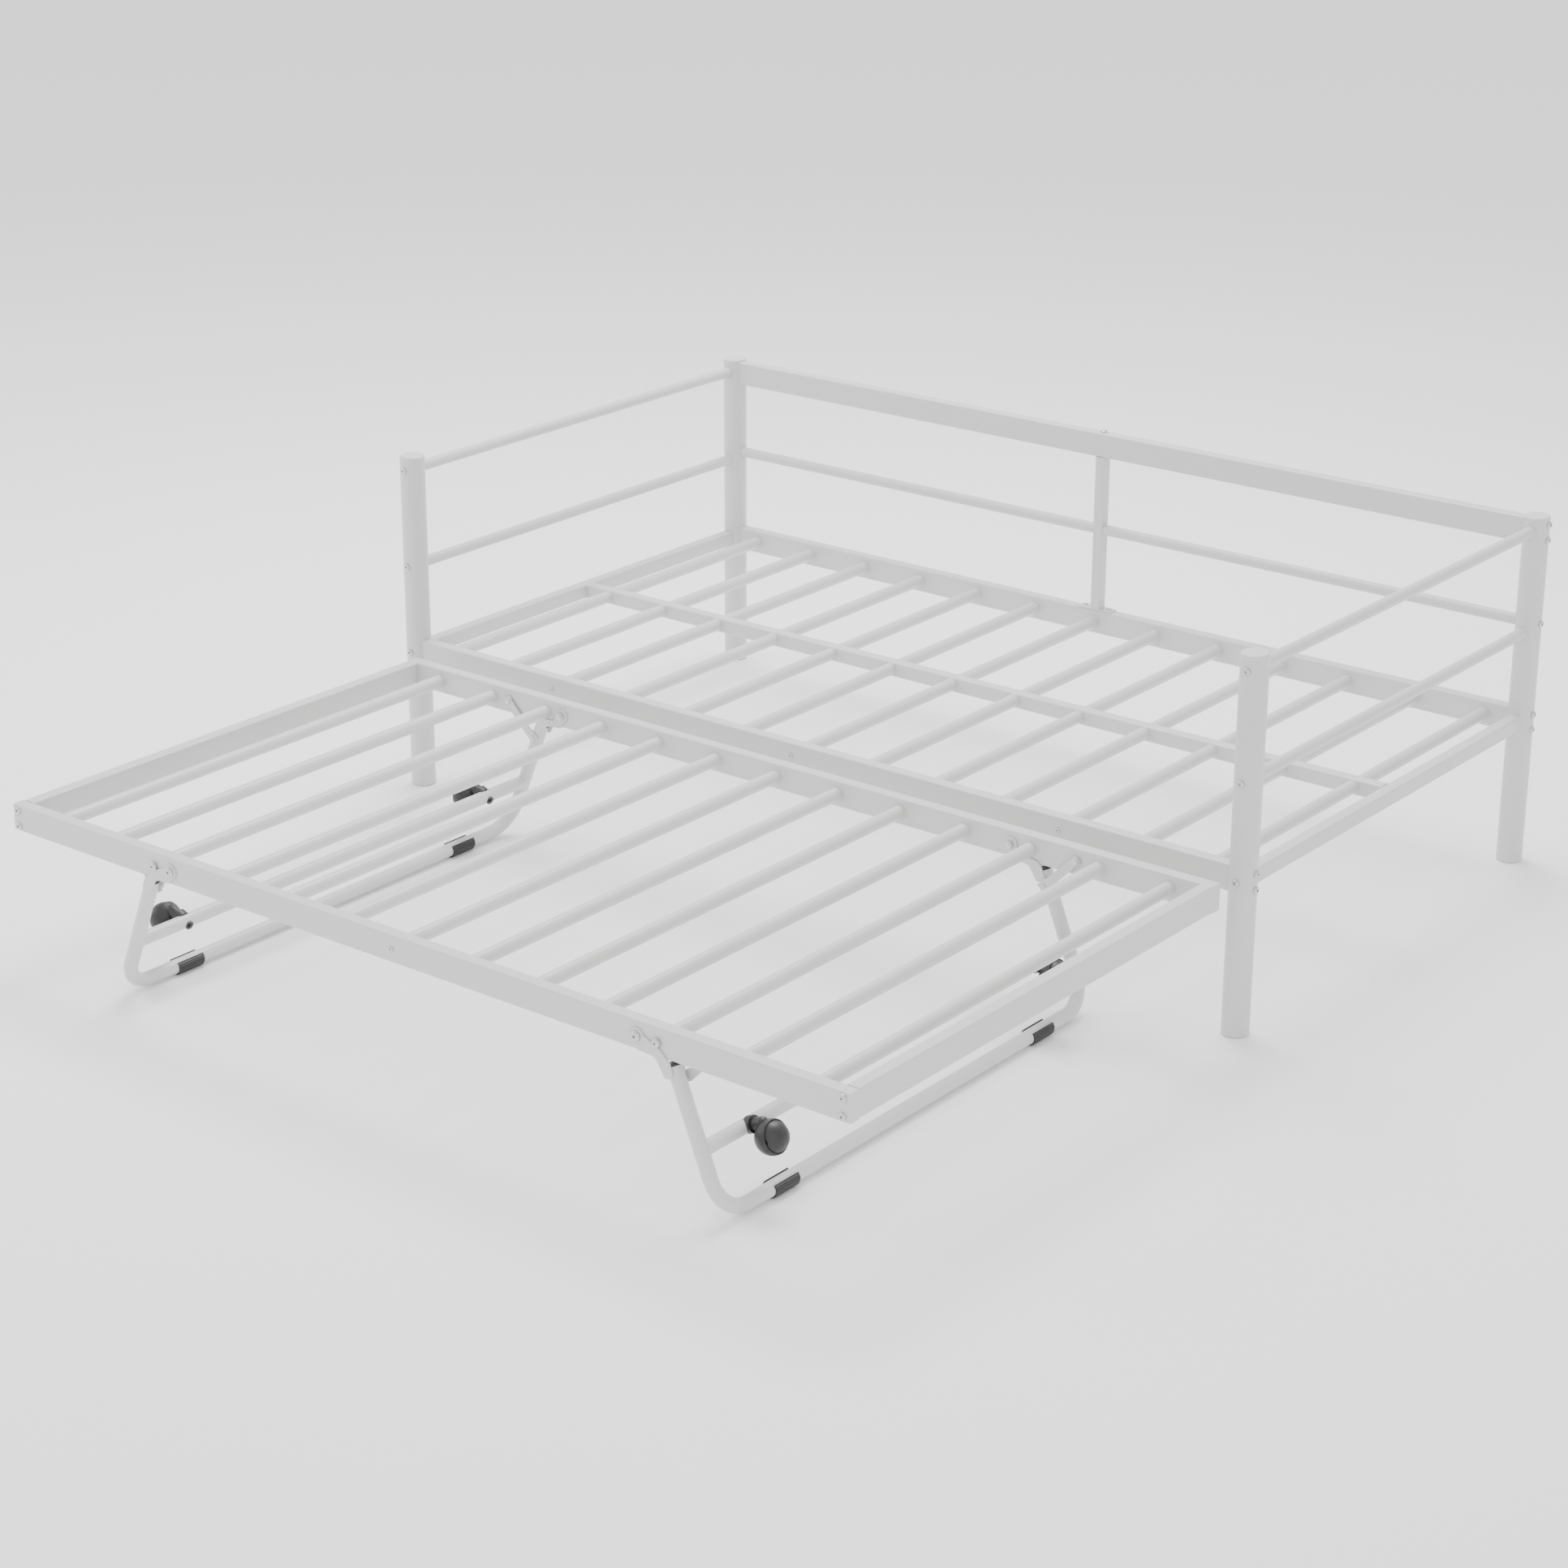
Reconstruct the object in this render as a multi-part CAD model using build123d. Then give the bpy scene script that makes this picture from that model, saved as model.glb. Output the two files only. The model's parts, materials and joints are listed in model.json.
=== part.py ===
from build123d import *
import os
from math import cos, radians, sin

os.makedirs("parts", exist_ok=True)

# A metal daybed with a pop-up trundle bed drawn out in front of it.  Millimetres, +Z up.
# +X runs along the bed to its right-hand end and +Y runs to the back.  The shapes are drawn
# with y = 0 on the line of the front posts, and save() shifts them to the shared origin.

# ---- driving dimensions: daybed ----
POST_X = 972.5            # post centres, each side of the middle
BED_DEPTH = 1022.0        # front post centres to rear post centres
BED_HEIGHT = 699.0
POST_R = 25.0
RAIL_W, RAIL_H = 25.0, 50.0       # rectangular rails
SIDE_H = 30.0                     # side rails and middle rail
WALL = 1.5
SLIM_R, SLIM_WALL = 11.0, 1.2     # slim round rails of the ends and back
SLAT_R, SLAT_WALL = 12.5, 1.2
DECK_Z = 290.0                    # middle height of deck rails and slats
END_TOP_Z, END_MID_Z = 671.0, 471.0
BACK_TOP_Z, BACK_MID_Z = 669.0, 488.0
MIDDLE_Y = 513.0
DECK_PITCH = 150.0
SLATS_EACH_SIDE = 6               # slats each side of the middle one
CORNER = 3.5                      # outside corner radius of rectangular tube
UPRIGHT_W = 22.0
FOOT_H, CAP_H = 6.0, 5.0
LONG_BOLT_RISE = 15.0             # bolt pairs at the long rails, above and below middle
DECK_TIE_SLATS = (-4, 0, 4)

# ---- driving dimensions: trundle ----
TRUNDLE_X, TRUNDLE_Y = 36.0, -594.5       # middle of the drawn-out trundle
TRUNDLE_L, TRUNDLE_W = 1876.0, 1033.0
TRUNDLE_Z = 284.0                         # middle height of its rails and slats
TRUNDLE_PITCH = 142.0
STOP_SLAT = 4                             # its tie bolts also stop the leg plates
CAP_T = 2.0
RAIL_Y = TRUNDLE_W / 2 - RAIL_W / 2       # middle plane of a long trundle rail
FOLD_X = 527.0                            # leg pivots, each side of the middle
LEG_R, LEG_WALL, LEG_BEND = 12.7, 1.5, 60.0
LEG_TILT = radians(22.0)
LEG_OFFSET = 45.5                         # leg tube stands this far outside its pivot
PAD_T = 3.0
FOOT_Z = LEG_R + PAD_T                    # middle of the floor tube
PIVOT_UP = (TRUNDLE_Z - FOOT_Z + LEG_OFFSET * sin(LEG_TILT)) / cos(LEG_TILT)
FOOT_X = FOLD_X + PIVOT_UP * sin(LEG_TILT) + LEG_OFFSET * cos(LEG_TILT)
LEG_TOP = 250.0                           # cut end of the leg tube, measured up the leg
CROSSBAR_UP, CROSSBAR_R = 110.0, 12.5
STUD_UP, STUD_R = 222.5, 4.0
PLATE_T, PLATE_GAP = 3.0, 0.2
PLATE_LOBE_R, PLATE_CORNER = 14.0, 3.5
PAD_Y, PAD_L = 357.0, 60.0
STAY_X, STAY_Z, STAY_W, STAY_T = 664.0, 286.0, 16.0, 3.0
CASTER_Y, CASTER_REACH, CASTER_TRAIL = 392.0, 46.0, 24.0
STEM_R = 4.0
BALL_R, CAVITY_R, WHEEL_R, WHEEL_HALF = 29.5, 27.7, 27.0, 15.0

# ---- fits and fastener sizes ----
RUNNING = 0.06            # radial clearance of a turning fit
SLIP = 0.2                # radial clearance of a bolt in a tube wall
M6, M5, M8 = 3.0, 2.5, 4.0
HEAD_R, HEAD_H = 7.0, 4.5
PIVOT_HEAD_R, PIVOT_HEAD_H = 9.0, 5.0
INSERT_START, INSERT_L = 28.0, 20.0

Y_DIR, Z_DIR = Vector(0, 1, 0), Vector(0, 0, 1)
FRONT_EDGE = TRUNDLE_Y - RAIL_Y - LEG_R - PLATE_T - PLATE_GAP - PIVOT_HEAD_H
REAR_EDGE = BED_DEPTH + POST_R + HEAD_H
ORIGIN_SHIFT = -(FRONT_EDGE + REAR_EDGE) / 2


# ---- basic shapes ----
def rod(radius, start, end):
    start, end = Vector(start), Vector(end)
    up = (Align.CENTER, Align.CENTER, Align.MIN)
    return Plane(origin=start, z_dir=end - start) * Cylinder(radius, (end - start).length, align=up)


def tube(radius, wall, start, end):
    return rod(radius, start, end) - rod(radius - wall, start, end)


def block(x, y, z):
    """Box between a low and a high value on each axis."""
    middle = ((x[0] + x[1]) / 2, (y[0] + y[1]) / 2, (z[0] + z[1]) / 2)
    return Pos(*middle) * Box(x[1] - x[0], y[1] - y[0], z[1] - z[0])


def box_tube(x, y, z, run):
    """Rectangular tube with rounded corners, open along the run axis."""
    spans = [x, y, z]
    inner = [(low + WALL, high - WALL) for low, high in spans]
    along = {Axis.X: 0, Axis.Y: 1, Axis.Z: 2}[run]
    inner[along] = spans[along]
    outer = block(*spans)
    outer = fillet(outer.edges().filter_by(run), CORNER)
    hollow = block(*inner)
    return outer - fillet(hollow.edges().filter_by(run), CORNER - WALL)


def tube_plug(x, y, z, run):
    """Solid block that fits inside a rectangular tube."""
    plug = block(x, y, z)
    return fillet(plug.edges().filter_by(run), CORNER - WALL)


def domed_bolt(seat, outward, length, shank_r, head_r=HEAD_R, head_h=HEAD_H, collar=0.0):
    """Button-head bolt with a hex socket; seat is the middle of the head's underside."""
    up = (Align.CENTER, Align.CENTER, Align.MIN)
    head = Cylinder(head_r, head_h, align=up)
    head = fillet(head.edges().group_by(Axis.Z)[-1], head_h * 0.8)
    socket = extrude(RegularPolygon(head_r * 0.36, 6), head_h)
    head -= Pos(0, 0, head_h * 0.45) * socket
    head = Pos(0, 0, collar) * head
    if collar:
        head += Cylinder(head_r * 0.8, collar, align=up)
    shank = Pos(0, 0, -length) * Cylinder(shank_r, length, align=up)
    return Plane(origin=Vector(seat), z_dir=Vector(outward)) * (head + shank)


def flat(sketch, y_low, y_high):
    """Plate drawn in X and Z, filling y_low to y_high."""
    plane = Plane(origin=(0, y_high, 0), x_dir=(1, 0, 0), z_dir=(0, -1, 0))
    return extrude(plane * sketch, y_high - y_low, dir=(0, -1, 0))


def group(pieces):
    return pieces[0] if len(pieces) == 1 else Compound(children=pieces)


def save(name, pieces, at=(0.0, 0.0)):
    """Write one node, moved from its drawing place to the shared origin."""
    pieces = pieces if isinstance(pieces, list) else [pieces]
    shift = Location((at[0], at[1] + ORIGIN_SHIFT, 0))
    export_step(group([piece.moved(shift) for piece in pieces]), f"parts/{name}.step")


# ---- daybed: posts, caps and feet ----
SIDES = {"left": -1, "right": 1}
ROWS = {"front": (0.0, -1), "rear": (BED_DEPTH, 1)}
END_BOLT_Z = (END_TOP_Z, END_MID_Z, DECK_Z)
DECK_BOLT_Z = (DECK_Z + LONG_BOLT_RISE, DECK_Z - LONG_BOLT_RISE)
BACK_BOLT_Z = (BACK_TOP_Z + LONG_BOLT_RISE, BACK_TOP_Z - LONG_BOLT_RISE, BACK_MID_Z)


def post_bolt_places(side, row):
    """Seat and outward direction of each bolt that enters one post."""
    y, outward = ROWS[row]
    x = SIDES[side] * POST_X
    places = [((x, y + outward * POST_R, z), (0, outward, 0)) for z in END_BOLT_Z]
    heights = DECK_BOLT_Z + (BACK_BOLT_Z if row == "rear" else ())
    outer = x + SIDES[side] * POST_R
    places += [((outer, y, z), (SIDES[side], 0, 0)) for z in heights]
    return places


def post(side, row):
    x, y = SIDES[side] * POST_X, ROWS[row][0]
    body = tube(POST_R, WALL, (x, y, FOOT_H), (x, y, BED_HEIGHT - CAP_H))
    for seat, outward in post_bolt_places(side, row):
        start = Vector(seat) + Vector(outward) * 2
        end = Vector(seat) - Vector(outward) * (2 * POST_R + 2)
        body -= rod(M6 + SLIP, start, end)
    return body


def post_cap(x, y):
    top = BED_HEIGHT
    disc = rod(POST_R, (x, y, top - CAP_H), (x, y, top))
    disc = fillet(disc.edges().group_by(Axis.Z)[-1], 3.5)
    return disc + rod(POST_R - WALL - 0.1, (x, y, top - CAP_H - 4.5), (x, y, top - CAP_H))


def post_foot(x, y):
    sole = rod(POST_R, (x, y, 0), (x, y, FOOT_H))
    sole = fillet(sole.edges().group_by(Axis.Z)[0], 4.0)
    return sole + rod(POST_R - WALL - 0.1, (x, y, FOOT_H), (x, y, FOOT_H + 12))


POSTS = [(side, row) for row in ROWS for side in SIDES]
for side, row in POSTS:
    save(f"post_{row}_{side}", post(side, row))
post_spots = [(SIDES[side] * POST_X, ROWS[row][0]) for side, row in POSTS]
save("post_top_caps", [post_cap(x, y) for x, y in post_spots])
save("post_feet", [post_foot(x, y) for x, y in post_spots])

bolt_length = 2 * POST_R + INSERT_L
post_bolts = []
for side, row in POSTS:
    for seat, outward in post_bolt_places(side, row):
        post_bolts.append(domed_bolt(seat, outward, bolt_length, M6))
save("post_bolts", post_bolts)


# ---- daybed: rails ----
def coped(rail):
    """Cut the rail's ends to the posts that they meet."""
    for x, y in post_spots:
        rail -= rod(POST_R, (x, y, 0), (x, y, BED_HEIGHT))
    return rail


def end_rail(side, z):
    x = SIDES[side] * POST_X
    return coped(tube(SLIM_R, SLIM_WALL, (x, 0, z), (x, BED_DEPTH, z)))


def side_rail(side):
    x = SIDES[side] * POST_X
    width = (x - RAIL_W / 2, x + RAIL_W / 2)
    height = (DECK_Z - SIDE_H / 2, DECK_Z + SIDE_H / 2)
    return coped(box_tube(width, (0, BED_DEPTH), height, Axis.Y))


def long_rail(y, z):
    depth = (y - RAIL_W / 2, y + RAIL_W / 2)
    return coped(box_tube((-POST_X, POST_X), depth, (z - RAIL_H / 2, z + RAIL_H / 2), Axis.X))


for side in SIDES:
    save(f"{side}_end_top_rail", end_rail(side, END_TOP_Z))
    save(f"{side}_end_mid_rail", end_rail(side, END_MID_Z))
    save(f"{side}_side_rail", side_rail(side))

deck_tie_x = [slat * DECK_PITCH for slat in DECK_TIE_SLATS]
front_rail = long_rail(0, DECK_Z)
rear_rail = long_rail(BED_DEPTH, DECK_Z)
for x in deck_tie_x:
    front_rail -= rod(M5 + SLIP, (x, -RAIL_W, DECK_Z), (x, RAIL_W, DECK_Z))
    rear_rail -= rod(M5 + SLIP, (x, BED_DEPTH - RAIL_W, DECK_Z), (x, BED_DEPTH + RAIL_W, DECK_Z))

FLANGE_HALF, FLANGE_T, FLANGE_SCREW_X = 40.0, 2.5, 29.0
rail_top, back_bottom = DECK_Z + RAIL_H / 2, BACK_TOP_Z - RAIL_H / 2
for x in (-FLANGE_SCREW_X, FLANGE_SCREW_X):
    rear_rail -= rod(M5 + SLIP, (x, BED_DEPTH, DECK_Z), (x, BED_DEPTH, rail_top + 5))
save("front_rail", front_rail)
save("rear_rail", rear_rail)

middle_x = POST_X - RAIL_W / 2
middle_rail = box_tube(
    (-middle_x, middle_x),
    (MIDDLE_Y - RAIL_W / 2, MIDDLE_Y + RAIL_W / 2),
    (DECK_Z - SIDE_H / 2, DECK_Z + SIDE_H / 2),
    Axis.X,
)
save("middle_rail", middle_rail)

back_top = long_rail(BED_DEPTH, BACK_TOP_Z)
back_top -= rod(M6 + SLIP, (0, BED_DEPTH, back_bottom - 5), (0, BED_DEPTH, BED_HEIGHT))
save("back_top_rail", back_top)
for side, sign in SIDES.items():
    start = (sign * UPRIGHT_W / 2, BED_DEPTH, BACK_MID_Z)
    end = (sign * POST_X, BED_DEPTH, BACK_MID_Z)
    save(f"back_mid_rail_{side}", coped(tube(SLIM_R, SLIM_WALL, start, end)))


# ---- daybed: back upright and its fixings ----
def upright():
    width = (-UPRIGHT_W / 2, UPRIGHT_W / 2)
    depth = (BED_DEPTH - RAIL_W / 2, BED_DEPTH + RAIL_W / 2)
    body = box_tube(width, depth, (rail_top + FLANGE_T, back_bottom), Axis.Z)
    flange = block((-FLANGE_HALF, FLANGE_HALF), depth, (rail_top, rail_top + FLANGE_T))
    body += fillet(flange.edges().filter_by(Axis.Z), 4)
    for x in (-FLANGE_SCREW_X, FLANGE_SCREW_X):
        body -= rod(M5 + SLIP, (x, BED_DEPTH, rail_top - 1), (x, BED_DEPTH, rail_top + 5))
    return body - rod(M6 + SLIP, (-30, BED_DEPTH, BACK_MID_Z), (30, BED_DEPTH, BACK_MID_Z))


save("back_upright", upright())
upright_fixings = [domed_bolt((0, BED_DEPTH, BACK_TOP_Z + RAIL_H / 2), Z_DIR, 72, M6)]
for x in (-FLANGE_SCREW_X, FLANGE_SCREW_X):
    seat = (x, BED_DEPTH, rail_top + FLANGE_T)
    upright_fixings.append(domed_bolt(seat, Z_DIR, 12, M5, head_r=5, head_h=3))
upright_fixings.append(rod(M6, (-36, BED_DEPTH, BACK_MID_Z), (36, BED_DEPTH, BACK_MID_Z)))
save("upright_fixings", upright_fixings)

# ---- daybed: slats and the screws that tie three of them to each long rail ----
slat_numbers = range(-SLATS_EACH_SIDE, SLATS_EACH_SIDE + 1)


def slat(x, y_low, y_high, z):
    return tube(SLAT_R, SLAT_WALL, (x, y_low, z), (x, y_high, z))


half = RAIL_W / 2
front_span, rear_span = (half, MIDDLE_Y - half), (MIDDLE_Y + half, BED_DEPTH - half)
save("front_slats", [slat(n * DECK_PITCH, *front_span, DECK_Z) for n in slat_numbers])
save("rear_slats", [slat(n * DECK_PITCH, *rear_span, DECK_Z) for n in slat_numbers])
tie_length = RAIL_W + 18
slat_screws = []
for x in deck_tie_x:
    slat_screws.append(domed_bolt((x, -half, DECK_Z), -Y_DIR, tie_length, M5, 5, 3.5))
    slat_screws.append(domed_bolt((x, BED_DEPTH + half, DECK_Z), Y_DIR, tie_length, M5, 5, 3.5))
save("slat_tie_screws", slat_screws)


# ---- threaded inserts inside the tube ends ----
def round_insert(start, direction, radius, thread):
    start, direction = Vector(start), Vector(direction)
    end = start + direction * INSERT_L
    return rod(radius - 0.1, start, end) - rod(thread, start, end)


def daybed_inserts():
    pieces = []
    slim = SLIM_R - SLIM_WALL
    wide, tall, low = RAIL_W / 2 - WALL - 0.1, RAIL_H / 2 - WALL - 0.1, SIDE_H / 2 - WALL - 0.1
    near, far = INSERT_START, INSERT_START + INSERT_L
    for side, row in POSTS:
        sign, (y, outward) = SIDES[side], ROWS[row]
        x = sign * POST_X
        for z in (END_TOP_Z, END_MID_Z):
            pieces.append(round_insert((x, y - outward * near, z), (0, -outward, 0), slim, M6))
        ends = sorted((y - outward * near, y - outward * far))
        plug = tube_plug((x - wide, x + wide), ends, (DECK_Z - low, DECK_Z + low), Axis.Y)
        pieces.append(plug - rod(M6, (x, ends[0], DECK_Z), (x, ends[1], DECK_Z)))
        rails = [DECK_Z] + ([BACK_TOP_Z] if row == "rear" else [])
        ends = sorted((x - sign * near, x - sign * far))
        for middle in rails:
            height = (middle - tall, middle + tall)
            plug = tube_plug(ends, (y - wide, y + wide), height, Axis.X)
            for z in (middle - LONG_BOLT_RISE, middle + LONG_BOLT_RISE):
                plug -= rod(M6, (ends[0], y, z), (ends[1], y, z))
            pieces.append(plug)
        if row == "rear":
            start = (x - sign * near, y, BACK_MID_Z)
            pieces.append(round_insert(start, (-sign, 0, 0), slim, M6))
            start = (sign * (UPRIGHT_W / 2 + 4), y, BACK_MID_Z)
            pieces.append(round_insert(start, (sign, 0, 0), slim, M6))
    upright_x, top = UPRIGHT_W / 2 - WALL - 0.1, back_bottom - 2
    depth = (BED_DEPTH - wide, BED_DEPTH + wide)
    plug = tube_plug((-upright_x, upright_x), depth, (top - INSERT_L, top), Axis.Z)
    pieces.append(plug - rod(M6, (0, BED_DEPTH, top - INSERT_L), (0, BED_DEPTH, top)))
    bore = SLAT_R - SLAT_WALL
    for x in deck_tie_x:
        pieces.append(round_insert((x, half + 1, DECK_Z), Y_DIR, bore, M5))
        pieces.append(round_insert((x, BED_DEPTH - half - 1, DECK_Z), -Y_DIR, bore, M5))
    return pieces


save("tube_inserts", daybed_inserts())

# ---- trundle frame, drawn about its own middle ----
AT_TRUNDLE = (TRUNDLE_X, TRUNDLE_Y)
CORNERS = [(sx, sy) for sy in (-1, 1) for sx in (-1, 1)]
ROW_NAMES, SIDE_NAMES = {-1: "front", 1: "rear"}, {-1: "left", 1: "right"}
rail_z = (TRUNDLE_Z - RAIL_H / 2, TRUNDLE_Z + RAIL_H / 2)
end_bolt_x = TRUNDLE_L / 2 - RAIL_W / 2
CORNER_BOLT_Z = (TRUNDLE_Z + LONG_BOLT_RISE, TRUNDLE_Z - LONG_BOLT_RISE)
tie_x = [0, -STOP_SLAT * TRUNDLE_PITCH, STOP_SLAT * TRUNDLE_PITCH]
face_y, inside_y = TRUNDLE_W / 2, TRUNDLE_W / 2 - RAIL_W


def mirrored(shape, sx, sy):
    """Copy of a shape drawn at the right front corner, at any corner."""
    if sx < 0:
        shape = mirror(shape, about=Plane.YZ)
    if sy > 0:
        shape = mirror(shape, about=Plane.XZ)
    return shape


def trundle_long_rail(sy):
    length = (-TRUNDLE_L / 2 + CAP_T, TRUNDLE_L / 2 - CAP_T)
    rail = box_tube(length, (-face_y, -inside_y), rail_z, Axis.X)
    for sx in (-1, 1):
        for z in CORNER_BOLT_Z:
            rail -= rod(M6 + SLIP, (sx * end_bolt_x, -face_y, z), (sx * end_bolt_x, -inside_y, z))
        pivot = sx * FOLD_X
        rail -= rod(M8 + SLIP, (pivot, -face_y, TRUNDLE_Z), (pivot, -inside_y, TRUNDLE_Z))
        rivet = sx * STAY_X
        rail -= rod(M8 + SLIP, (rivet, -inside_y - 3, STAY_Z), (rivet, -inside_y, STAY_Z))
    for x in tie_x:
        rail -= rod(M5 + SLIP, (x, -face_y, TRUNDLE_Z), (x, -inside_y, TRUNDLE_Z))
    return mirrored(rail, 1, sy)


for sy in (-1, 1):
    save(f"trundle_{ROW_NAMES[sy]}_rail", trundle_long_rail(sy), AT_TRUNDLE)
for sx in (-1, 1):
    ends = (TRUNDLE_L / 2 - RAIL_W, TRUNDLE_L / 2)
    end_piece = box_tube(ends, (-inside_y, inside_y), rail_z, Axis.Y)
    save(f"trundle_{SIDE_NAMES[sx]}_rail", mirrored(end_piece, sx, -1), AT_TRUNDLE)


def rail_cap():
    """Plate that closes the open end of a long rail, with a stub inside the tube."""
    outer = block((TRUNDLE_L / 2 - CAP_T, TRUNDLE_L / 2), (-face_y, -inside_y), rail_z)
    outer = fillet(outer.edges().filter_by(Axis.X), CORNER)
    gap = WALL + 0.1
    stub_x = (TRUNDLE_L / 2 - 8, TRUNDLE_L / 2 - CAP_T)
    stub_y, stub_z = (-face_y + gap, -inside_y - gap), (rail_z[0] + gap, rail_z[1] - gap)
    return outer + tube_plug(stub_x, stub_y, stub_z, Axis.X)


save("trundle_rail_caps", [mirrored(rail_cap(), *corner) for corner in CORNERS], AT_TRUNDLE)
trundle_slats = [slat(n * TRUNDLE_PITCH, -inside_y, inside_y, TRUNDLE_Z) for n in slat_numbers]
save("trundle_slats", trundle_slats, AT_TRUNDLE)

corner_bolts, trundle_inserts = [], []
plug_half, plug_tall = RAIL_W / 2 - WALL - 0.1, RAIL_H / 2 - WALL - 0.1
insert_y = (-inside_y + 2, -inside_y + 2 + INSERT_L)
for corner in CORNERS:
    plug_x = (end_bolt_x - plug_half, end_bolt_x + plug_half)
    plug_z = (TRUNDLE_Z - plug_tall, TRUNDLE_Z + plug_tall)
    plug = tube_plug(plug_x, insert_y, plug_z, Axis.Y)
    for z in CORNER_BOLT_Z:
        plug -= rod(M6, (end_bolt_x, insert_y[0], z), (end_bolt_x, insert_y[1], z))
        bolt = domed_bolt((end_bolt_x, -face_y, z), -Y_DIR, RAIL_W + 20, M6)
        corner_bolts.append(mirrored(bolt, *corner))
    trundle_inserts.append(mirrored(plug, *corner))
save("trundle_corner_bolts", corner_bolts, AT_TRUNDLE)

# Tie bolts run through each long rail into three slats.  The outer two of each rail carry a
# collar that the leg plate comes to rest against.
STOP_COLLAR = 3.6
tie_bolts = []
for sy in (-1, 1):
    for x in tie_x:
        size = dict(head_r=8, head_h=4.4, collar=STOP_COLLAR) if x else dict(head_r=5, head_h=3.5)
        bolt = domed_bolt((x, -face_y, TRUNDLE_Z), -Y_DIR, RAIL_W + 18, M5, **size)
        tie_bolts.append(mirrored(bolt, 1, sy))
        start = (x, -inside_y + 1, TRUNDLE_Z)
        insert = round_insert(start, Y_DIR, SLAT_R - SLAT_WALL, M5)
        trundle_inserts.append(mirrored(insert, 1, sy))
save("trundle_tie_bolts", tie_bolts, AT_TRUNDLE)
save("trundle_inserts", trundle_inserts, AT_TRUNDLE)

# ---- leg pivot bolts and stay rivets, fixed in the long rails ----
plate_out = RAIL_Y + LEG_R + PLATE_T       # outer face of the outer leg plate
plate_in = RAIL_Y - LEG_R - PLATE_T        # inner face of the inner leg plate
STAY_NEAR = plate_in - 0.4                 # stay face on the rail's side
STAY_FAR = STAY_NEAR - STAY_T


def pivot_bolt():
    seat = (FOLD_X, -plate_out - PLATE_GAP, TRUNDLE_Z)
    reach = plate_out - plate_in + 2 * PLATE_GAP + 8
    return domed_bolt(seat, -Y_DIR, reach, M8, PIVOT_HEAD_R, PIVOT_HEAD_H)


def pivot_nut():
    low = -plate_in + PLATE_GAP
    nut = flat(Pos(FOLD_X, TRUNDLE_Z) * RegularPolygon(7.5, 6), low, low + 6.5)
    return nut - rod(M8, (FOLD_X, low, TRUNDLE_Z), (FOLD_X, low + 6.5, TRUNDLE_Z))


def stay_rivet():
    def at(y):
        return (STAY_X, y, STAY_Z)

    head = rod(7, at(-STAY_FAR + 0.2), at(-STAY_FAR + 2.4))
    head = fillet(head.edges().group_by(Axis.Y)[-1], 1.5)
    shank = rod(M8, at(-inside_y - WALL - 1.5), at(-STAY_FAR + 0.2))
    collar = rod(8, at(-inside_y), at(-STAY_NEAR - 0.1))
    tail = rod(6, at(-inside_y - WALL - 1.5), at(-inside_y - WALL))
    return head + shank + collar + tail


pivot_pieces = [piece for corner in CORNERS
                for piece in (mirrored(pivot_bolt(), *corner), mirrored(pivot_nut(), *corner))]
save("leg_pivot_bolts", pivot_pieces, AT_TRUNDLE)
save("stay_rivets", [mirrored(stay_rivet(), *corner) for corner in CORNERS], AT_TRUNDLE)


# ---- folding legs, drawn for the right-hand end ----
def leg_point(up, out, y):
    """Point measured up the leg tube, square out from the leg's plane, and across the bed."""
    x = FOOT_X - up * sin(LEG_TILT) + out * cos(LEG_TILT)
    z = FOOT_Z + up * cos(LEG_TILT) + out * sin(LEG_TILT)
    return Vector(x, y, z)


def leg_tube():
    corners = [leg_point(LEG_TOP, 0, -RAIL_Y), leg_point(0, 0, -RAIL_Y)]
    corners += [leg_point(0, 0, RAIL_Y), leg_point(LEG_TOP, 0, RAIL_Y)]
    path = FilletPolyline(*corners, radius=LEG_BEND)
    start = Plane(origin=path @ 0, z_dir=path % 0)
    outer = sweep(start * Circle(LEG_R), path=path)
    return outer - sweep(start * Circle(LEG_R - LEG_WALL), path=path)


def crossbar():
    start, end = leg_point(CROSSBAR_UP, 0, -RAIL_Y), leg_point(CROSSBAR_UP, 0, RAIL_Y)
    bar = tube(CROSSBAR_R, WALL, start, end)
    for y in (-RAIL_Y, RAIL_Y):
        bar -= rod(LEG_R, leg_point(0, 0, y), leg_point(LEG_TOP, 0, y))
    for y in (-CASTER_Y, CASTER_Y):
        bar -= rod(6.0, leg_point(CROSSBAR_UP, -30, y), leg_point(CROSSBAR_UP, 30, y))
    return bar


def leg_plate(outline, y_low, y_high):
    """Plate that hangs the leg tube from the pivot bolt; outline is its arm, in X and Z."""
    arm = Polygon(*[(FOLD_X + x, TRUNDLE_Z + z) for x, z in outline], align=None)
    arm = fillet(arm.vertices(), PLATE_CORNER)
    lobe = Pos(FOLD_X, TRUNDLE_Z) * Circle(PLATE_LOBE_R)
    hole = rod(M8 + RUNNING, (FOLD_X, y_low, TRUNDLE_Z), (FOLD_X, y_high, TRUNDLE_Z))
    return flat(arm, y_low, y_high) + flat(lobe, y_low, y_high) - hole


OUTER_ARM = [(-8, -8), (4, 11), (14, 4), (45, -9), (66, -28), (73, -45),
             (70, -54), (57, -56), (48, -41), (40, -28), (30, -24), (2, -23)]
INNER_ARM = [(-8, -8), (8, 4), (22, -14), (56, -18), (66, -28), (73, -45),
             (70, -54), (57, -56), (48, -41), (40, -31), (30, -28), (2, -26)]


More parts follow.
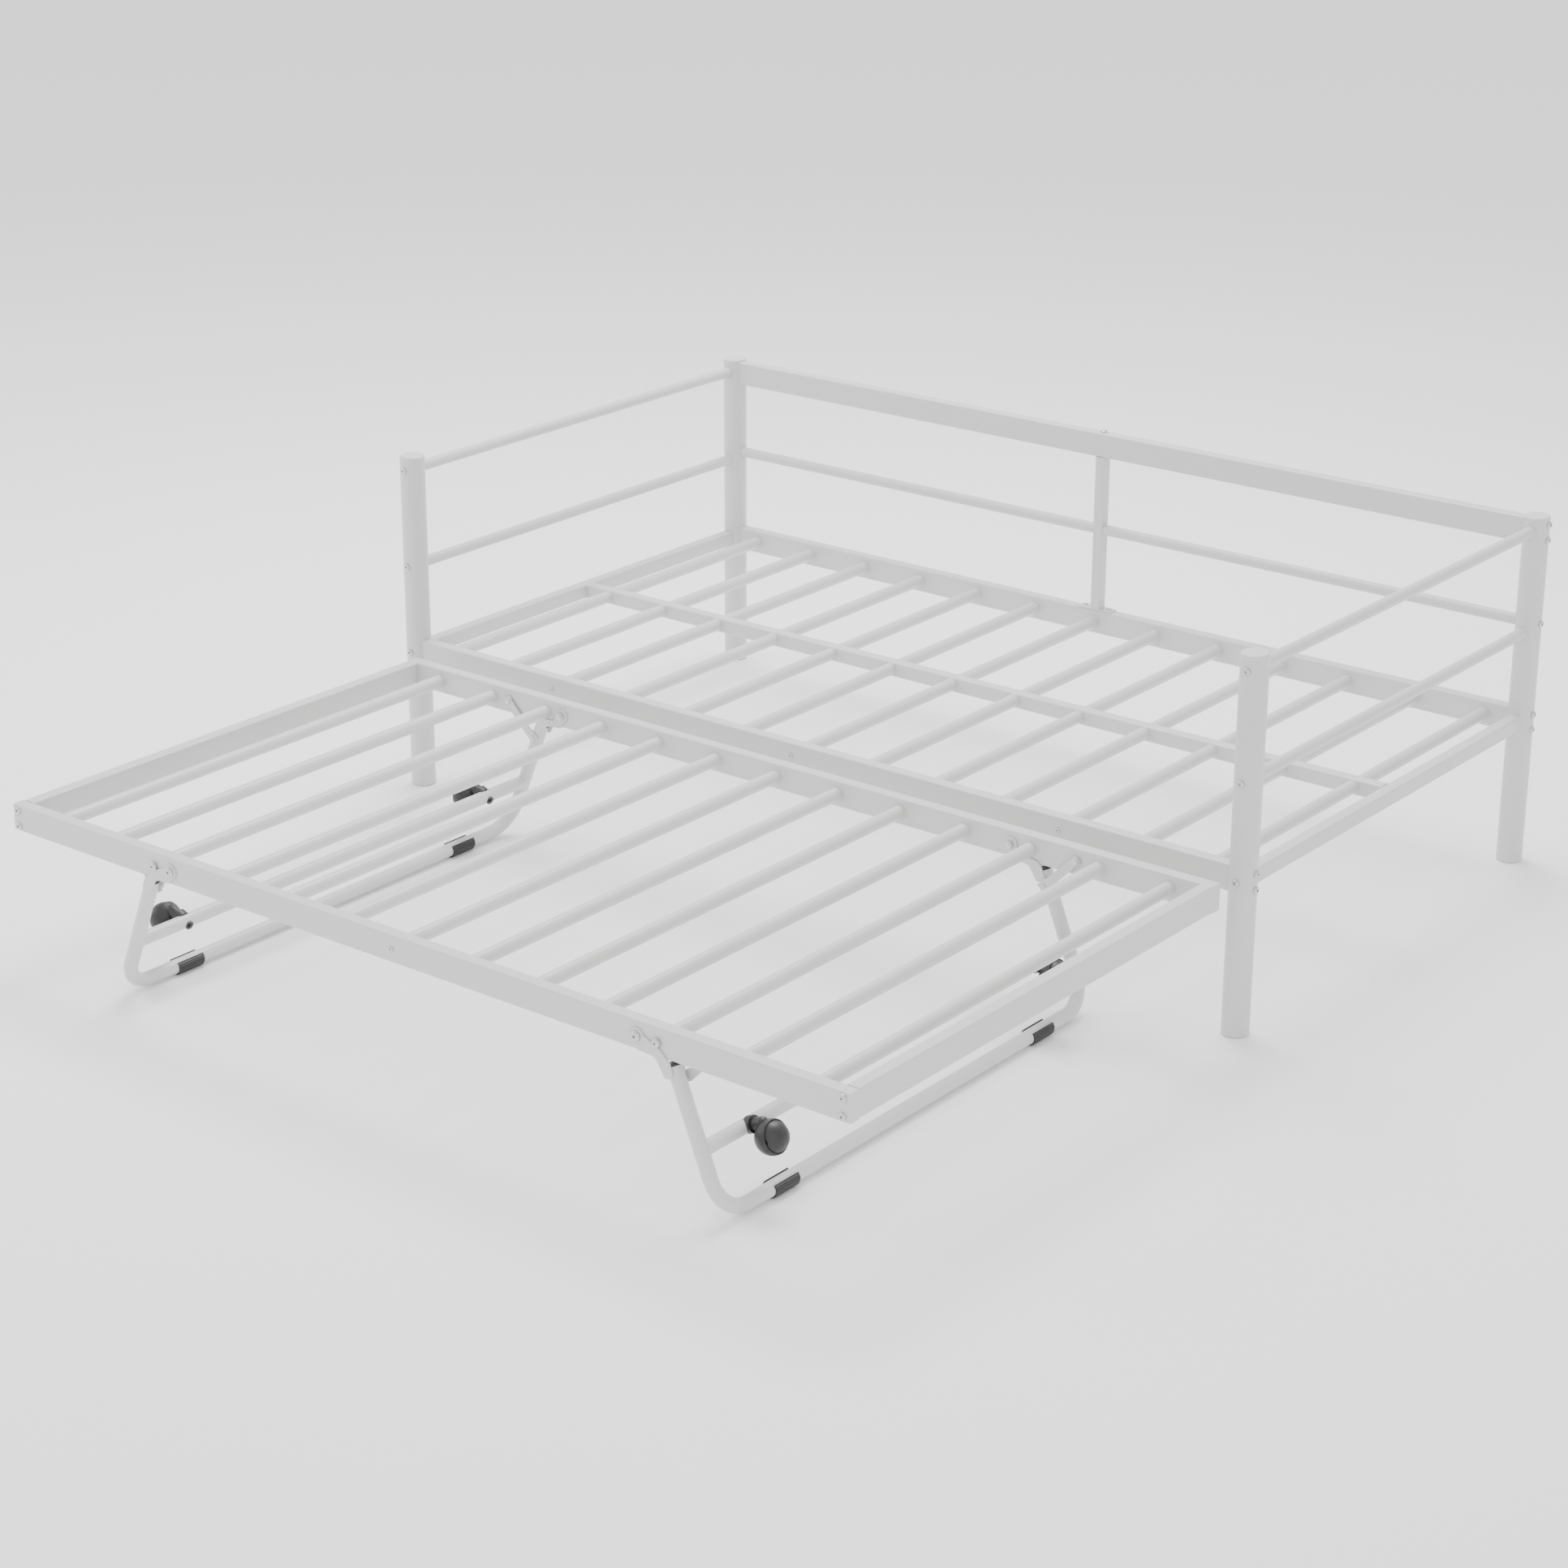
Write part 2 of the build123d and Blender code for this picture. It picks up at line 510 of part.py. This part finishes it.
def stay_stud():
    """Headed stud welded on the inner side of the leg tube, which the stay props against."""
    low, high = -RAIL_Y + LEG_R - 1.5, -STAY_FAR + 0.3
    base, neck, tip = (leg_point(STUD_UP, 0, y) for y in (low, high, high + 2))
    leg = rod(LEG_R, leg_point(150, 0, -RAIL_Y), leg_point(LEG_TOP, 0, -RAIL_Y))
    stud = rod(STUD_R, base, neck) - leg
    head = rod(6.5, neck, tip)
    return stud + fillet(head.edges().group_by(Axis.Y)[-1], 1.2)


def end_plug():
    def at(up):
        return leg_point(up, 0, -RAIL_Y)

    head = rod(LEG_R, at(LEG_TOP), at(LEG_TOP + 5))
    head = fillet(head.edges().filter_by(GeomType.CIRCLE).sort_by(Axis.Z)[-1], 1.5)
    return head + rod(LEG_R - LEG_WALL - 0.1, at(LEG_TOP - 14), at(LEG_TOP))


def foot_pad():
    """Ribbed clip-on pad, open along the top and flat where it meets the floor."""
    def at(y):
        return (FOOT_X, y, FOOT_Z)

    ends = (-PAD_Y - PAD_L / 2, -PAD_Y + PAD_L / 2)
    outer_r = LEG_R + PAD_T + 0.5
    pad = rod(outer_r, at(ends[0]), at(ends[1])) - rod(LEG_R, at(ends[0]), at(ends[1]))
    groove = rod(outer_r + 2, at(-1), at(1)) - rod(outer_r - 1.2, at(-1), at(1))
    for step in range(1, 6):
        pad -= Pos(0, ends[0] + step * PAD_L / 6, 0) * groove
    pad -= block((FOOT_X - 9, FOOT_X + 9), ends, (FOOT_Z, FOOT_Z + 30))
    return pad - block((FOOT_X - 30, FOOT_X + 30), ends, (-10, 0))


def caster_socket():
    """Plastic bush through the crossbar with a saddle collar outside and a lip inside."""
    def at(out):
        return leg_point(CROSSBAR_UP, out, -CASTER_Y)

    bar = rod(CROSSBAR_R, leg_point(CROSSBAR_UP, 0, -CASTER_Y - 30),
              leg_point(CROSSBAR_UP, 0, -CASTER_Y + 30))
    collar = rod(15, at(5), at(17)) - bar
    lip = rod(8, at(-14.5), at(-8)) - bar
    return collar + lip + rod(5.9, at(-14.5), at(17)) - rod(STEM_R + RUNNING, at(-20), at(20))


leg_pieces = {
    "tube": [leg_tube()],
    "crossbar": [crossbar()],
    "plates": [],
    "end_plugs": [],
    "foot_pads": [],
    "caster_sockets": [],
}
outer_plate = leg_plate(OUTER_ARM, -plate_out, -plate_out + PLATE_T)
inner_plate = leg_plate(INNER_ARM, -plate_in - PLATE_T, -plate_in)
for sy in (-1, 1):
    for piece in (outer_plate, inner_plate, stay_stud()):
        leg_pieces["plates"].append(mirrored(piece, 1, sy))
    leg_pieces["end_plugs"].append(mirrored(end_plug(), 1, sy))
    leg_pieces["foot_pads"].append(mirrored(foot_pad(), 1, sy))
    leg_pieces["caster_sockets"].append(mirrored(caster_socket(), 1, sy))
for sx in (-1, 1):
    for name, pieces in leg_pieces.items():
        shapes = [mirrored(piece, sx, -1) for piece in pieces]
        save(f"{SIDE_NAMES[sx]}_leg_{name}", shapes, AT_TRUNDLE)


# ---- stays: flat props from the rail's inner face down to the leg's stud ----
def stay():
    rivet, stud = Vector(STAY_X, -STAY_FAR, STAY_Z), leg_point(STUD_UP, 0, -STAY_FAR)
    reach = (stud - rivet).length
    plane = Plane(origin=rivet, x_dir=(stud - rivet).normalized(), z_dir=(0, -1, 0))
    notch_r, lip = STUD_R + 0.4, STAY_W / 2 + 3
    tip = reach + 8
    bar = Pos(tip / 2, 0) * Rectangle(tip, STAY_W)
    bar += Circle(STAY_W / 2 + 1.5)
    ear = Pos(reach - 4, -lip / 2) * Rectangle(24, lip)
    bar += fillet(ear.vertices(), 3)
    bar -= Pos(reach, 0) * Circle(notch_r)
    bar -= Pos(reach + 10 - notch_r, 10) * Rectangle(20, 20)
    bar -= Pos(reach + 10, 10 - notch_r) * Rectangle(20, 20)
    bar -= Circle(M8 + RUNNING)
    return extrude(plane * bar, STAY_T, dir=(0, -1, 0))


# ---- casters: hooded ball casters whose stems turn in the crossbar sockets ----
hub = Vector(CASTER_TRAIL, 0, CASTER_REACH)
AXLE_R = 3.0
caster_plane = Plane(
    origin=leg_point(CROSSBAR_UP, 0, -CASTER_Y),
    x_dir=(sin(LEG_TILT), 0, -cos(LEG_TILT)),
    z_dir=(cos(LEG_TILT), 0, sin(LEG_TILT)),
)


def caster_hood():
    neck_r, neck_low, neck_top, stem_top = 11.0, 17.5, 34.0, 24.0
    hood = Pos(*hub) * Sphere(BALL_R)
    hood += rod(neck_r, (0, 0, neck_low), (0, 0, neck_top))
    hood += Pos(0, 0, neck_top) * Sphere(neck_r)
    hood -= Pos(*hub) * Sphere(CAVITY_R)
    hood -= block((-60, 90), (-60, 60), (CASTER_REACH + 8, CASTER_REACH + 60))
    ball = Pos(*hub) * Sphere(BALL_R - 0.4)
    for sy in (-1, 1):
        boss = rod(7, hub + Y_DIR * sy * (WHEEL_HALF + 0.6), hub + Y_DIR * sy * BALL_R)
        hood += boss & ball
    axle = rod(AXLE_R, hub - Y_DIR * (BALL_R - 1.5), hub + Y_DIR * (BALL_R - 1.5))
    stem = rod(STEM_R, (0, 0, -17.5), (0, 0, stem_top))
    return [hood - axle - rod(STEM_R, (0, 0, 0), (0, 0, stem_top)), axle, stem]


def caster_wheel():
    wheel = Pos(*hub) * Sphere(WHEEL_R)
    wide = block((-60, 90), (-WHEEL_HALF, WHEEL_HALF), (-60, 120))
    wheel = wheel & wide
    for sy in (-1, 1):
        low, high = hub + Y_DIR * sy * (WHEEL_HALF - 4), hub + Y_DIR * sy * (WHEEL_HALF + 4)
        wheel -= rod(18, low, high) - rod(8, low, high)
    return wheel - rod(AXLE_R + RUNNING, hub - Y_DIR * 40, hub + Y_DIR * 40)


stay_shape = stay()
hood_pieces = [caster_plane * piece for piece in caster_hood()]
wheel_piece = caster_plane * caster_wheel()
for sx, sy in CORNERS:
    place = f"{ROW_NAMES[sy]}_{SIDE_NAMES[sx]}"
    save(f"stay_{place}", mirrored(stay_shape, sx, sy), AT_TRUNDLE)
    save(f"caster_{place}", [mirrored(piece, sx, sy) for piece in hood_pieces], AT_TRUNDLE)
    save(f"caster_wheel_{place}", mirrored(wheel_piece, sx, sy), AT_TRUNDLE)
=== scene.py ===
import json
from math import atan2, cos, pi, radians, sin, sqrt

import bmesh
import bpy
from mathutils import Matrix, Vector


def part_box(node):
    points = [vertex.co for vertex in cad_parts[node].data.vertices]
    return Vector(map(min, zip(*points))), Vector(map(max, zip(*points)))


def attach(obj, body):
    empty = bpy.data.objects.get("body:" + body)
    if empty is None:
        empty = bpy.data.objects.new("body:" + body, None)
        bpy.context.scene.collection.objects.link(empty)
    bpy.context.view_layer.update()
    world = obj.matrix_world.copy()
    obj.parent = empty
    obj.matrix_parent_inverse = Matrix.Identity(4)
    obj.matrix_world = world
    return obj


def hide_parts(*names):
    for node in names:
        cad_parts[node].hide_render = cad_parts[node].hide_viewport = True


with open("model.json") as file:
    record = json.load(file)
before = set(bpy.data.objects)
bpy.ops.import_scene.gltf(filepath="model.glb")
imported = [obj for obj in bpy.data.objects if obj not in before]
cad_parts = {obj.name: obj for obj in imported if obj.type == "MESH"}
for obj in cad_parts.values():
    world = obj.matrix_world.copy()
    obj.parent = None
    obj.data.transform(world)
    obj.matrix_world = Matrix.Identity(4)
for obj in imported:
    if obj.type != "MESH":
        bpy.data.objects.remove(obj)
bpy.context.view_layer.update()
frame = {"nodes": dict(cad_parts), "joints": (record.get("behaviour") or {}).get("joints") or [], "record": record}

nodes = frame["nodes"]
node_body = {node: body for body, names in frame["record"]["behaviour"]["bodies"].items()
             for node in names}


# ---- camera, floor and lights ----
# A plain pale floor under soft studio light, with one large overhead panel and two fills.
# The camera stands to the right and in front of the bed, looking down along it.
CAMERA_PLACE = (3.7131, -4.71095, 2.5460)
CAMERA_DOWN, CAMERA_ROLL, CAMERA_HEADING = 20.817, -0.078, 38.474      # degrees
SENSOR_WIDTH, LENS, SHIFT_X, SHIFT_Y = 36, 78.93, 0.0073, -0.0082
camera_data = bpy.data.cameras.new("camera")
camera = bpy.data.objects.new("camera", camera_data)
bpy.context.scene.collection.objects.link(camera)
camera.location = CAMERA_PLACE
camera.rotation_euler = (radians(90 - CAMERA_DOWN), radians(CAMERA_ROLL), radians(CAMERA_HEADING))
camera_data.sensor_width = SENSOR_WIDTH
camera_data.lens = LENS
camera_data.shift_x = SHIFT_X
camera_data.shift_y = SHIFT_Y
bpy.context.scene.camera = camera


def new_piece(name, bm, material):
    """Object at the origin that holds a finished bmesh."""
    mesh = bpy.data.meshes.new(name)
    bm.to_mesh(mesh)
    bm.free()
    mesh.materials.append(material)
    piece = bpy.data.objects.new(name, mesh)
    bpy.context.scene.collection.objects.link(piece)
    return piece


FLOOR_TONE, FLOOR_ROUGH, FLOOR_HALF = 0.97, 0.8, 40
floor_material = bpy.data.materials.new("studio_floor")
floor_material.use_nodes = True
floor_shader = floor_material.node_tree.nodes["Principled BSDF"]
floor_shader.inputs["Base Color"].default_value = (FLOOR_TONE, FLOOR_TONE, FLOOR_TONE, 1)
floor_shader.inputs["Roughness"].default_value = FLOOR_ROUGH
floor_bm = bmesh.new()
bmesh.ops.create_grid(floor_bm, x_segments=1, y_segments=1, size=FLOOR_HALF)
floor = new_piece("floor", floor_bm, floor_material)

WORLD_STRENGTH = 1.45
world = bpy.data.worlds.new("studio")
world.use_nodes = True
background = world.node_tree.nodes["Background"]
background.inputs["Color"].default_value = (1, 1, 1, 1)
background.inputs["Strength"].default_value = WORLD_STRENGTH
bpy.context.scene.world = world

# Each panel: where it stands, its side in metres and its power in watts.
LIGHTS = {"overhead": ((-1.0, 1.5, 4.5), 2.5, 260), "front_fill": ((4, -5, 3), 3.0, 50),
          "side_fill": ((-4.5, -3, 3), 3.0, 90)}
LIGHT_AIM = Vector((0, 0, 0.3))
for light_name, (place, size, power) in LIGHTS.items():
    light_data = bpy.data.lights.new(light_name, "AREA")
    light_data.size = size
    light_data.energy = power
    light = bpy.data.objects.new(light_name, light_data)
    bpy.context.scene.collection.objects.link(light)
    light.location = place
    light.rotation_euler = (LIGHT_AIM - Vector(place)).to_track_quat("-Z", "Y").to_euler()


# ---- surface groups that several finishes share ----
# Fine grain stands for the texture that powder coat, plating and moulding leave, with a broad
# variation of tone. Dust is a soft large-scale mask that gathers on upward faces, and edge wear
# is a mask on outer edges.
def group_sockets(group, inputs, outputs):
    for name, kind, value in inputs:
        socket = group.interface.new_socket(name, in_out="INPUT", socket_type=kind)
        socket.default_value = value
    for name, kind in outputs:
        group.interface.new_socket(name, in_out="OUTPUT", socket_type=kind)


TONE_SCALE, DUST_SCALE = 6.0, 14.0
WEAR_FROM, WEAR_TO = 0.52, 0.62           # pointiness where wear starts and is full

grain_group = bpy.data.node_groups.new("surface_grain", "ShaderNodeTree")
group_sockets(grain_group,
              [("Scale", "NodeSocketFloat", 900.0), ("Detail", "NodeSocketFloat", 4.0)],
              [("Height", "NodeSocketFloat"), ("Variation", "NodeSocketFloat")])
grain_nodes, link_grain = grain_group.nodes, grain_group.links.new
grain_in, grain_out = grain_nodes.new("NodeGroupInput"), grain_nodes.new("NodeGroupOutput")
grain_place = grain_nodes.new("ShaderNodeTexCoord")
fine, broad = grain_nodes.new("ShaderNodeTexNoise"), grain_nodes.new("ShaderNodeTexNoise")
broad.inputs["Scale"].default_value = TONE_SCALE
link_grain(grain_place.outputs["Object"], fine.inputs["Vector"])
link_grain(grain_place.outputs["Object"], broad.inputs["Vector"])
link_grain(grain_in.outputs["Scale"], fine.inputs["Scale"])
link_grain(grain_in.outputs["Detail"], fine.inputs["Detail"])
link_grain(fine.outputs["Fac"], grain_out.inputs["Height"])
link_grain(broad.outputs["Fac"], grain_out.inputs["Variation"])

dust_group = bpy.data.node_groups.new("settled_dust", "ShaderNodeTree")
group_sockets(dust_group, [("Amount", "NodeSocketFloat", 0.15)], [("Mask", "NodeSocketFloat")])
dust_nodes, link_dust = dust_group.nodes, dust_group.links.new
dust_in, dust_out = dust_nodes.new("NodeGroupInput"), dust_nodes.new("NodeGroupOutput")
facing, split = dust_nodes.new("ShaderNodeNewGeometry"), dust_nodes.new("ShaderNodeSeparateXYZ")
cloud, dust_place = dust_nodes.new("ShaderNodeTexNoise"), dust_nodes.new("ShaderNodeTexCoord")
cloud.inputs["Scale"].default_value = DUST_SCALE
upward, patchy, dusty = (dust_nodes.new("ShaderNodeMath") for _ in range(3))
upward.operation, patchy.operation, dusty.operation = "MAXIMUM", "MULTIPLY", "MULTIPLY"
upward.inputs[1].default_value = 0.0
link_dust(facing.outputs["Normal"], split.inputs["Vector"])
link_dust(split.outputs["Z"], upward.inputs[0])
link_dust(dust_place.outputs["Object"], cloud.inputs["Vector"])
link_dust(upward.outputs[0], patchy.inputs[0])
link_dust(cloud.outputs["Fac"], patchy.inputs[1])
link_dust(patchy.outputs[0], dusty.inputs[0])
link_dust(dust_in.outputs["Amount"], dusty.inputs[1])
link_dust(dusty.outputs[0], dust_out.inputs["Mask"])

wear_group = bpy.data.node_groups.new("edge_wear", "ShaderNodeTree")
group_sockets(wear_group, [("Amount", "NodeSocketFloat", 0.3)], [("Mask", "NodeSocketFloat")])
wear_nodes, link_wear = wear_group.nodes, wear_group.links.new
wear_in, wear_out = wear_nodes.new("NodeGroupInput"), wear_nodes.new("NodeGroupOutput")
edge, edge_range = wear_nodes.new("ShaderNodeNewGeometry"), wear_nodes.new("ShaderNodeMapRange")
worn = wear_nodes.new("ShaderNodeMath")
edge_range.inputs["From Min"].default_value = WEAR_FROM
edge_range.inputs["From Max"].default_value = WEAR_TO
worn.operation = "MULTIPLY"
link_wear(edge.outputs["Pointiness"], edge_range.inputs["Value"])
link_wear(edge_range.outputs["Result"], worn.inputs[0])
link_wear(wear_in.outputs["Amount"], worn.inputs[1])
link_wear(worn.outputs[0], wear_out.inputs["Mask"])


# ---- finishes of the CAD pieces ----
# Tubes, rails and plates are steel under white satin powder coat; bolts are zinc plated;
# end plugs, pads and casters are moulded black plastic; caps and feet are white plastic.
DUST_COLOR = (0.55, 0.54, 0.51)
ROUGH_SPREAD, COAT_ROUGH = 0.07, 0.3
GRAIN_RELIEF = 0.0002                     # height of the grain, in metres
MIX_FIRST, MIX_SECOND, MIX_RESULT = 6, 7, 2   # colour sockets of a Mix node


def finish(name, base, tone, worn_color, rough, metallic, scale, bump, dust, wear, coat=0.0):
    """One finish: two close tones, edge wear, dust, roughness variation and grain bump."""
    material = bpy.data.materials.new(name)
    material.use_nodes = True
    tree = material.node_tree
    shader = tree.nodes["Principled BSDF"]
    shader.inputs["Metallic"].default_value = metallic
    shader.inputs["Coat Weight"].default_value = coat
    shader.inputs["Coat Roughness"].default_value = COAT_ROUGH
    grain, dust_node, wear_node = (tree.nodes.new("ShaderNodeGroup") for _ in range(3))
    grain.node_tree, dust_node.node_tree, wear_node.node_tree = grain_group, dust_group, wear_group
    grain.inputs["Scale"].default_value = scale
    dust_node.inputs["Amount"].default_value = dust
    wear_node.inputs["Amount"].default_value = wear

    def mix(first, second, factor):
        node = tree.nodes.new("ShaderNodeMix")
        node.data_type = "RGBA"
        tree.links.new(factor, node.inputs["Factor"])
        for socket, value in ((node.inputs[MIX_FIRST], first), (node.inputs[MIX_SECOND], second)):
            if isinstance(value, tuple):
                socket.default_value = (*value, 1)
            else:
                tree.links.new(value, socket)
        return node.outputs[MIX_RESULT]

    color = mix(base, tone, grain.outputs["Variation"])
    color = mix(color, worn_color, wear_node.outputs["Mask"])
    color = mix(color, DUST_COLOR, dust_node.outputs["Mask"])
    tree.links.new(color, shader.inputs["Base Color"])
    rough_range = tree.nodes.new("ShaderNodeMapRange")
    rough_range.inputs["To Min"].default_value = rough - ROUGH_SPREAD
    rough_range.inputs["To Max"].default_value = rough + ROUGH_SPREAD
    tree.links.new(grain.outputs["Variation"], rough_range.inputs["Value"])
    tree.links.new(rough_range.outputs["Result"], shader.inputs["Roughness"])
    relief = tree.nodes.new("ShaderNodeBump")
    relief.inputs["Strength"].default_value = bump
    relief.inputs["Distance"].default_value = GRAIN_RELIEF
    tree.links.new(grain.outputs["Height"], relief.inputs["Height"])
    tree.links.new(relief.outputs["Normal"], shader.inputs["Normal"])
    return material


FINISHES = {
    # The white coat and the white caps get a mid grey base of 0.62, darker than their own white: painted shade
    # over every white piece, which sets them off the bright floor.
    "white_powder_coat": finish(
        "white_powder_coat", base=(0.62, 0.62, 0.615), tone=(0.58, 0.58, 0.575),
        worn_color=(0.54, 0.54, 0.53), rough=0.38, metallic=0.0, scale=1400, bump=0.25,
        dust=0.10, wear=0.25, coat=0.15),
    "white_cap": finish(
        "white_cap", base=(0.62, 0.62, 0.615), tone=(0.59, 0.59, 0.585),
        worn_color=(0.55, 0.55, 0.54), rough=0.45, metallic=0.0, scale=2200, bump=0.12,
        dust=0.10, wear=0.2),
    "zinc_steel": finish(
        "zinc_steel", base=(0.62, 0.62, 0.60), tone=(0.52, 0.53, 0.54),
        worn_color=(0.75, 0.75, 0.74), rough=0.30, metallic=1.0, scale=3000, bump=0.15,
        dust=0.05, wear=0.4),
    "plain_steel": finish(
        "plain_steel", base=(0.45, 0.45, 0.45), tone=(0.38, 0.38, 0.38),
        worn_color=(0.55, 0.55, 0.55), rough=0.45, metallic=1.0, scale=2500, bump=0.2,
        dust=0.05, wear=0.3),
    "black_plastic": finish(
        "black_plastic", base=(0.012, 0.012, 0.012), tone=(0.017, 0.017, 0.017),
        worn_color=(0.03, 0.03, 0.03), rough=0.42, metallic=0.0, scale=2600, bump=0.35,
        dust=0.02, wear=0.4),
    "wheel_black": finish(
        "wheel_black", base=(0.013, 0.013, 0.013), tone=(0.019, 0.019, 0.019),
        worn_color=(0.035, 0.035, 0.035), rough=0.45, metallic=0.0, scale=1800, bump=0.3,
        dust=0.03, wear=0.5),
}
for subpart in frame["record"]["subparts"]:
    part = nodes[subpart["node"]]
    part.data.materials.clear()
    part.data.materials.append(FINISHES[subpart["material_slot"]])


# ---- caster wheels ----
# Each caster rolls on a ball-shaped wheel of black nylon, moulded in two halves that meet in a
# parting line. Round the axle each side has a recess that clears the boss in the hood.
BALL_R, BORE_R, RECESS_R, RECESS_Y = 0.0270, 0.00306, 0.0085, 0.0150
PARTING_DEPTH, BALL_ARC_STEPS, BALL_SPIN_STEPS = 0.0004, 24, 48
FLAT_SIDE = 0.99                          # y of the normal on the flat floor of a recess
MERGE_DIST = 1e-6
rim_angle = atan2(sqrt(BALL_R ** 2 - RECESS_R ** 2), RECESS_R)
for joint in frame["joints"]:
    if not joint["name"].startswith("wheel_roll_"):
        continue
    place, centre = joint["name"].removeprefix("wheel_roll_"), Vector(joint["pos_m"])
    section = [(BORE_R, -RECESS_Y), (RECESS_R, -RECESS_Y)]
    for step in range(BALL_ARC_STEPS + 1):
        angle = rim_angle * (2 * step / BALL_ARC_STEPS - 1)
        radius = BALL_R - (PARTING_DEPTH if step * 2 == BALL_ARC_STEPS else 0)
        section.append((radius * cos(angle), radius * sin(angle)))
    section += [(RECESS_R, RECESS_Y), (BORE_R, RECESS_Y)]
    ball_bm = bmesh.new()
    ring = [ball_bm.verts.new(centre + Vector((r, y, 0))) for r, y in section]
    ring_edges = [ball_bm.edges.new(pair) for pair in zip(ring, ring[1:] + ring[:1])]
    bmesh.ops.spin(ball_bm, geom=ring + ring_edges, cent=centre, axis=(0, 1, 0), angle=2 * pi,
                   steps=BALL_SPIN_STEPS, use_merge=True, use_duplicate=False)
    bmesh.ops.remove_doubles(ball_bm, verts=ball_bm.verts, dist=MERGE_DIST)
    bmesh.ops.recalc_face_normals(ball_bm, faces=ball_bm.faces)
    for face in ball_bm.faces:
        face.smooth = abs(face.normal.y) < FLAT_SIDE
    ball = new_piece("ball_wheel_" + place, ball_bm, FINISHES["wheel_black"])
    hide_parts("caster_wheel_" + place)
    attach(ball, joint["child"])


# ---- foot pads ----
# Each floor tube stands on two clip-on pads of black moulded plastic, open along the top.
# Their ribs run along the tube, and the lowest one lies on the floor.
PAD_L, PAD_INNER_R, RIB_DEPTH = 0.060, 0.01275, 0.0012
PAD_FLAT = 0.0005                         # depth of the flat cut under the CAD pad
PAD_ARC, PAD_STEPS = radians(270), 36
MOUTH_ANGLE = radians(45)                 # from straight up to either lip of the mouth
mouth = Vector((sin(MOUTH_ANGLE), 0, cos(MOUTH_ANGLE)))
for side in ("left", "right"):
    pad_node = side + "_leg_foot_pads"
    low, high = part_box(pad_node)
    axis_x = (low.x + high.x) / 2
    outer_r = (high.x - low.x) / 2 - PAD_FLAT    # also the height of the tube's axis
    pad_bm = bmesh.new()
    for start_y in (low.y, high.y - PAD_L):
        hub = Vector((axis_x, start_y, outer_r))
        lip = [pad_bm.verts.new(hub + mouth * r) for r in (PAD_INNER_R, outer_r)]
        lip.append(pad_bm.edges.new(lip))
        bmesh.ops.spin(pad_bm, geom=lip, cent=hub, axis=(0, 1, 0), angle=PAD_ARC,
                       steps=PAD_STEPS, use_merge=False, use_duplicate=False)
        section_faces = [f for f in pad_bm.faces
                         if abs(f.calc_center_median().y - start_y) < MERGE_DIST]
        for vert in {v for f in section_faces for v in f.verts}:
            out = vert.co - hub
            turned = (atan2(out.x, out.z) - MOUTH_ANGLE) % (2 * pi)
            step = round(turned / (PAD_ARC / PAD_STEPS))
            if out.length > (PAD_INNER_R + outer_r) / 2 and step % 2:
                vert.co = hub + out.normalized() * (outer_r - RIB_DEPTH)
        grown = bmesh.ops.extrude_face_region(pad_bm, geom=section_faces)["geom"]
        grown_verts = [g for g in grown if isinstance(g, bmesh.types.BMVert)]
        bmesh.ops.translate(pad_bm, vec=(0, PAD_L, 0), verts=grown_verts)
    bmesh.ops.remove_doubles(pad_bm, verts=pad_bm.verts, dist=MERGE_DIST)
    bmesh.ops.recalc_face_normals(pad_bm, faces=pad_bm.faces)
    pads = new_piece(side + "_ribbed_foot_pads", pad_bm, FINISHES["black_plastic"])
    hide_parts(pad_node)
    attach(pads, node_body[pad_node])


# ---- weld beads where slats meet rails ----
# A slat is welded round its end to the rail it meets, except where a bolt ties it there. The
# bead is a ring of filler metal under the powder coat, spun from a short round section.
BEAD_R, BEAD_SIDES, BEAD_SPIN_STEPS = 0.0016, 6, 24
BEAD_INSET = BEAD_R * 0.6                 # middle of a bead, in from the slat's end
BEAD_MERGE_DIST = 1e-5
SLATS = 13
TIED_SLATS = (2, 6, 10)
TIED_ENDS = {"front_slats": ("front",), "rear_slats": ("rear",),
             "trundle_slats": ("front", "rear")}


def bead(bm, x, y, z, radius):
    """Ring of weld round a slat's end, whose middle is at x, y, z."""
    start = bmesh.ops.create_circle(bm, segments=BEAD_SIDES, radius=BEAD_R)["verts"]
    bmesh.ops.translate(bm, vec=(x + radius, y, z), verts=start)
    loop = list({e for v in start for e in v.link_edges})
    bmesh.ops.spin(bm, geom=start + loop, cent=(x, y, z), axis=(0, 1, 0), angle=2 * pi,
                   steps=BEAD_SPIN_STEPS, use_merge=True, use_duplicate=False)


for slat_node, tied_ends in TIED_ENDS.items():
    low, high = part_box(slat_node)
    slat_radius = (high.z - low.z) / 2
    first, last = low.x + slat_radius, high.x - slat_radius
    end_places = {"front": low.y + BEAD_INSET, "rear": high.y - BEAD_INSET}
    bead_bm = bmesh.new()
    for number in range(SLATS):
        middle = first + (last - first) * number / (SLATS - 1)
        for end, end_y in end_places.items():
            if number in TIED_SLATS and end in tied_ends:
                continue
            bead(bead_bm, middle, end_y, (low.z + high.z) / 2, slat_radius)
    bmesh.ops.remove_doubles(bead_bm, verts=bead_bm.verts, dist=BEAD_MERGE_DIST)
    bmesh.ops.recalc_face_normals(bead_bm, faces=bead_bm.faces)
    for face in bead_bm.faces:
        face.smooth = True
    beads = new_piece(slat_node + "_weld_beads", bead_bm, FINISHES["white_powder_coat"])
    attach(beads, node_body[slat_node])
